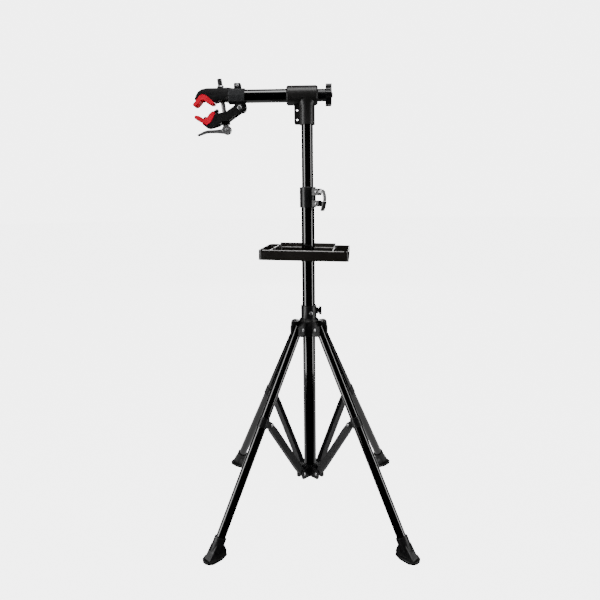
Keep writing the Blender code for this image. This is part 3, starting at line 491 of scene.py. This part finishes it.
def threaded(name, radius, low, high, place, pitch=0.0010):
    """A threaded bar, as a stack of fine ridges."""
    turns = round((high - low) / pitch)
    profile = [(0, high)]
    for i in range(turns):
        top = high - i * pitch
        profile += [(radius - 0.0004, top), (radius, top - pitch * 0.5)]
    profile += [(radius - 0.0004, low), (0, low)]
    return turned(name, profile, place, 32)


def make_clamp_rod():
    """The clamp's rod, threaded at its head, with an eye on the cam's pin."""
    place = facing(ROD_AXIS, CAM_PIVOT)
    head_start = 0.0900
    shank = threaded("clamp_rod_skin", 0.0030, head_start, 0.1265, place)
    finish(shank, BODY_OF["clamp_rod"], "bright_steel")
    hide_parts("clamp_rod")
    bar = [(0, head_start + 0.0005), (0.0028, head_start + 0.0005), (0.0028, 0.0050), (0, 0.0050)]
    plain = turned("clamp_rod_shank", bar, place, 40)
    finish(plain, BODY_OF["clamp_rod"], "bright_steel")
    loop = [(0.0034, 0.0040), (0.0058, 0.0040), (0.0062, 0.0036), (0.0062, -0.0036)]
    loop += [(0.0058, -0.0040), (0.0034, -0.0040)]
    eye = turned("clamp_rod_eye", loop, facing(Y_AXIS, CAM_PIVOT), 56, ring=True)
    finish(eye, BODY_OF["clamp_rod"], "bright_steel")


# ---- Tray ----
def make_tray():
    """The tray, and the slim collar and the nut that it turns between."""
    tray = refined("tray", 0.0009)
    tray.data.transform(tray_set())
    stand_for(tray, "tray")
    bore, neck_r, skirt_r, flange_r = 0.0203, 0.0240, 0.0216, 0.0262
    neck_top, skirt_bottom, flange_top = 0.0130, -0.0140, -0.0009
    profile = [(bore, neck_top), (neck_r - 0.0004, neck_top)]
    profile += [(neck_r, neck_top - 0.0004), (neck_r, flange_top)]
    profile += [(flange_r - 0.0003, flange_top), (flange_r, flange_top - 0.0004)]
    profile += [(skirt_r + 0.0008, flange_top - 0.0020), (skirt_r, flange_top - 0.0028)]
    profile += [(skirt_r, skirt_bottom + 0.0004), (skirt_r - 0.0004, skirt_bottom), (bore, skirt_bottom)]
    collar = turned("tray_collar_skin", profile, at_post(z=TRAY_BOTTOM), 96, ring=True)
    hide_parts("tray_collar")
    finish(collar, BODY_OF["tray_collar"], SLOT_OF["tray_collar"], "tube_gloss_black")
    screw = JOINTS["tray_screw_turn"]["pos_m"]
    boss = [(0.0030, 0.0212), (0.0048, 0.0212), (0.0048, 0.0262), (0.0042, 0.0266), (0.0030, 0.0266)]
    finish(turned("tray_screw_boss", boss, facing(Y_AXIS, (screw[0], 0, screw[2])), 40, ring=True),
           BODY_OF["tray_collar"], "black_plastic")
    nut, nut_lift = refined("tray_nut", 0.0005), 0.0008
    nut.data.transform(Matrix.Translation((0, 0, nut_lift)))
    stand_for(nut, "tray_nut")


def tray_bead(name, start, end, depth, height, half_depth, half_height):
    """A round bead along the tray, from start to end, in pale grey that is a painted highlight."""
    outline = [(half_depth * x, half_height * y) for x, y in ring_points(1.0, 16)]
    place = tray_set() @ at_post(z=TRAY_BOTTOM) @ Matrix.Rotation(TRAY_TURN, 4, "Z")
    place = place @ facing(X_AXIS, (TRAY_SHIFT + (start + end) / 2, depth, height))
    finish(extruded(name, outline, end - start, place), "tray", "tray_plastic", "tray_painted_highlight")


def make_tray_beads():
    """The bead along the front rim, and the step on the back wall of the middle well; their pale grey is a painted
    highlight along the rims.
    """
    left, right = TRAY_RIBS
    reach, rim_depth, rim_height = 0.1180, 0.0014 - TRAY_HALF_DEPTH, TRAY_HEIGHT - 0.0008
    tray_bead("tray_front_bead", -reach, reach, rim_depth, rim_height, 0.0017, 0.0013)
    inset, step_depth, step_height = 0.0020, TRAY_HALF_DEPTH - 0.0036, TRAY_HEIGHT - 0.0085
    tray_bead("tray_back_step", left + inset, right - inset, step_depth, step_height, 0.0014, 0.0014)


# ---- Trim ----
def make_collar_pins():
    """Short pins with domed heads on both sides of each pair of ears on the lower collar."""
    radius, height, ear_half, slot_half = 0.0400, 0.1300, 0.0135, 0.0093
    outer, shank_r = ear_half + GAP, 0.0031
    for name, degrees in LEG_AZIMUTHS.items():
        for side, word in ((-1, "left"), (1, "right")):
            place = azimuth_frame(math.radians(degrees)) @ facing(Y_AXIS * side, (radius, 0, height))
            profile = domed_head(outer, 0.0052, 0.0020)
            profile += [(shank_r, outer), (shank_r, slot_half + 0.0004), (0, slot_half + 0.0004)]
            finish(turned(f"collar_pin_{name}_{word}", profile, place, 40), "post", "bright_steel")


def make_pad_caps():
    """Black plastic domes set in the V of the upper and the lower pad."""
    caps = {"upper": (-0.3035, 1.3075, -1, 0.0050, 0.0058, "arm"),
            "lower": (-0.3020, 1.2500, 1, 0.0075, 0.0125, "lower_jaw")}
    for name, (x, z, way, radius, height, body) in caps.items():
        place = facing(Z_AXIS * way, (POST_X + x, 0, z))
        angles = [math.radians(10 * i) for i in range(10)]
        profile = [(radius * math.sin(a), height * math.cos(a)) for a in angles]
        profile += [(radius, -0.0040), (0, -0.0040)]
        finish(turned(f"pad_cap_{name}", profile, place, 48), body, "black_plastic")


def make_socket_sleeve():
    """The coarser cast sleeve round the jaw's socket, where the arm goes in."""
    left, right, radius, half_width, low, high = -0.2288, -0.1828, 0.0224, 0.0205, -0.0172, 0.0166
    shape = bmesh.new()
    points = [(y, z) for y, z in ring_points(radius, 64)]
    points += [(-half_width, low), (half_width, low), (half_width, high), (-half_width, high)]
    for x in (left, right):
        for y, z in points:
            shape.verts.new((POST_X + x, y, ARM_Z + z))
    hull = bmesh.ops.convex_hull(shape, input=shape.verts)
    inner = [v for v in hull["geom_interior"] if isinstance(v, bmesh.types.BMVert)]
    bmesh.ops.delete(shape, geom=inner, context="VERTS")
    bmesh.ops.dissolve_limit(shape, angle_limit=math.radians(1), verts=shape.verts, edges=shape.edges)
    sleeve = soften(object_from("socket_sleeve", shape, Matrix()), 0.0010, 3)
    finish(sleeve, "arm", "jaw_casting", "socket_skin")


def make_pad_stop():
    """The round black rubber stop behind the lower pad's inner tip."""
    start, end, radius = Vector((-0.2740, 1.2722)), Vector((-0.2655, 1.2782)), 0.0043
    along = end - start
    turn = math.degrees(math.atan2(along.y, along.x))
    outline = arc(end, radius, turn - 90, turn + 90, 12) + arc(start, radius, turn + 90, turn + 270, 12)
    stop = extruded("pad_stop", outline, 0.0180, side_on((POST_X, 0, 0)), 0.0016, 4)
    finish(stop, "lower_jaw", "black_plastic")


def make_lever_clevis():
    """Two cheeks on the end of the upper lugs, with the pins that the quick-release lever turns on."""
    pivot, across = Vector(JOINTS["mast_lever"]["pos_m"]), Vector(JOINTS["mast_lever"]["axis"])
    place = Matrix.Translation(pivot) @ Matrix.Rotation(LUG_AZIMUTH, 4, "Z") @ side_on()
    end_r, root, middle_y, thick = 0.0040, -0.0110, 0.0082, 0.0015
    outline = arc((0, 0), end_r, -90, 90, 12) + [(root, end_r), (root, -end_r)]
    for side, word in ((-1, "left"), (1, "right")):
        cheek_place = place @ Matrix.Translation((0, 0, side * middle_y))
        finish(extruded(f"lever_cheek_{word}", outline, thick, cheek_place, 0.0003, 2), "post", "dark_steel")
        outer = middle_y + thick / 2 + 0.0001
        profile = domed_head(outer, 0.0026, 0.0010) + [(0, outer)]
        finish(turned(f"lever_pin_{word}", profile, facing(across * side, pivot), 32), "post", "bright_steel")


# The groove round the hub is not cut: a thin ring of darker black plastic stands in for it, and its darkness is
# painted shade of the groove.
def make_hub_painted_groove_shade():
    profile = [(0.0250, 0.6800), (0.0250, 0.6790), (0.0240, 0.6790), (0.0240, 0.6800)]
    finish(turned("hub_painted_groove_shade", profile, at_post(), 96, ring=True), "hub", "black_plastic")


# ---- Camera, lights and floor ----
def make_camera():
    position = Vector((POST_X + 0.0019, -1.6363, 1.0142))
    pitch, yaw, roll = math.radians(10.675), math.radians(-1.033), math.radians(-0.704)
    forward = Vector((math.sin(yaw) * math.cos(pitch), math.cos(yaw) * math.cos(pitch), -math.sin(pitch)))
    level = forward.cross(Z_AXIS).normalized()
    upright = level.cross(forward)
    right = level * math.cos(roll) + upright * math.sin(roll)
    up = upright * math.cos(roll) - level * math.sin(roll)
    data = bpy.data.cameras.new("camera")
    data.sensor_width = 36
    data.lens = 31.65
    data.clip_end = 60
    camera = bpy.data.objects.new("camera", data)
    camera.matrix_world = Matrix.Translation(position) @ Matrix((right, up, -forward)).transposed().to_4x4()
    bpy.context.scene.collection.objects.link(camera)
    bpy.context.scene.camera = camera


def area_light(name, at, target, size, radiance, glossy=True):
    """A soft box of this width, height and radiance, which the camera doesn't see."""
    data = bpy.data.lights.new(name, "AREA")
    data.shape = "RECTANGLE"
    data.size, data.size_y = size
    data.energy = radiance * math.pi * size[0] * size[1]
    light = bpy.data.objects.new(name, data)
    aim = (Vector(target) - Vector(at)).to_track_quat("-Z", "Y").to_matrix().to_4x4()
    light.matrix_world = Matrix.Translation(at) @ aim
    light.visible_camera = False
    light.visible_glossy = glossy
    bpy.context.scene.collection.objects.link(light)


def make_stage():
    """A pale floor that fades into a pale surround. Only the lights shine on the stand."""
    material = bpy.data.materials.new("floor_paint")
    material.use_nodes = True
    shader = material.node_tree.nodes["Principled BSDF"]
    shader.inputs["Roughness"].default_value = 0.85
    shader.inputs["Specular IOR Level"].default_value = 0.1
    shader.inputs["Emission Color"].default_value = (1.0, 1.0, 1.0, 1)
    shader.inputs["Emission Strength"].default_value = FLOOR_GLOW
    place = material.node_tree.nodes.new("ShaderNodeTexCoord").outputs["Object"]
    tones = [(0.3, (0.30, 0.30, 0.302)), (0.7, (0.32, 0.32, 0.32))]
    tone = ramp(material, noise(material, place, 3.0, 5.0), tones)
    link(material, tone, shader.inputs["Base Color"])
    shape = bmesh.new()
    bmesh.ops.create_circle(shape, cap_ends=True, radius=30.0, segments=96)
    floor = object_from("floor", shape, Matrix.Translation((0, 0, -0.0005)))
    floor.data.materials.append(material)
    floor.visible_diffuse = floor.visible_glossy = False
    world = bpy.data.worlds.new("studio")
    bpy.context.scene.world = world
    world.use_nodes = True
    world.node_tree.nodes["Background"].inputs["Color"].default_value = (1.0, 1.0, 1.0, 1)
    world.node_tree.nodes["Background"].inputs["Strength"].default_value = WORLD_GLOW
    world.cycles_visibility.diffuse = False
    world.cycles_visibility.glossy = False
    aim = (0, 0, 0.75)
    area_light("side_left", (-2.40, -1.00, 0.95), aim, (1.15, 2.8), 5.0)
    area_light("side_right", (2.50, -0.78, 0.95), aim, (0.7, 2.8), 5.0)
    area_light("top", (0, -0.95, 3.9), (0, 0, 1.2), (3.2, 1.5), 5.5)
    area_light("backdrop", (0, 5.0, 1.35), (0, 0, 0.9), (2.2, 0.8), 8.0)
    area_light("bounce", (0, 0.80, 0.006), (0, 0.80, 3.0), (4.0, 1.8), 0.5)
    area_light("front", (-0.5, -4.2, 3.4), aim, (2.4, 1.6), 4.0, glossy=False)
    area_light("back", (0.5, 4.2, 3.0), aim, (2.4, 1.6), 2.4, glossy=False)


make_tubes()
make_star_knob()
make_small_knobs()
make_pins()
make_hub_screw()
make_clamp_rod()
make_collar_pins()
make_pad_caps()
make_socket_sleeve()
make_pad_stop()
make_lever_clevis()
make_hub_painted_groove_shade()
make_tray()
make_tray_beads()
make_castings()
make_camera()
make_stage()
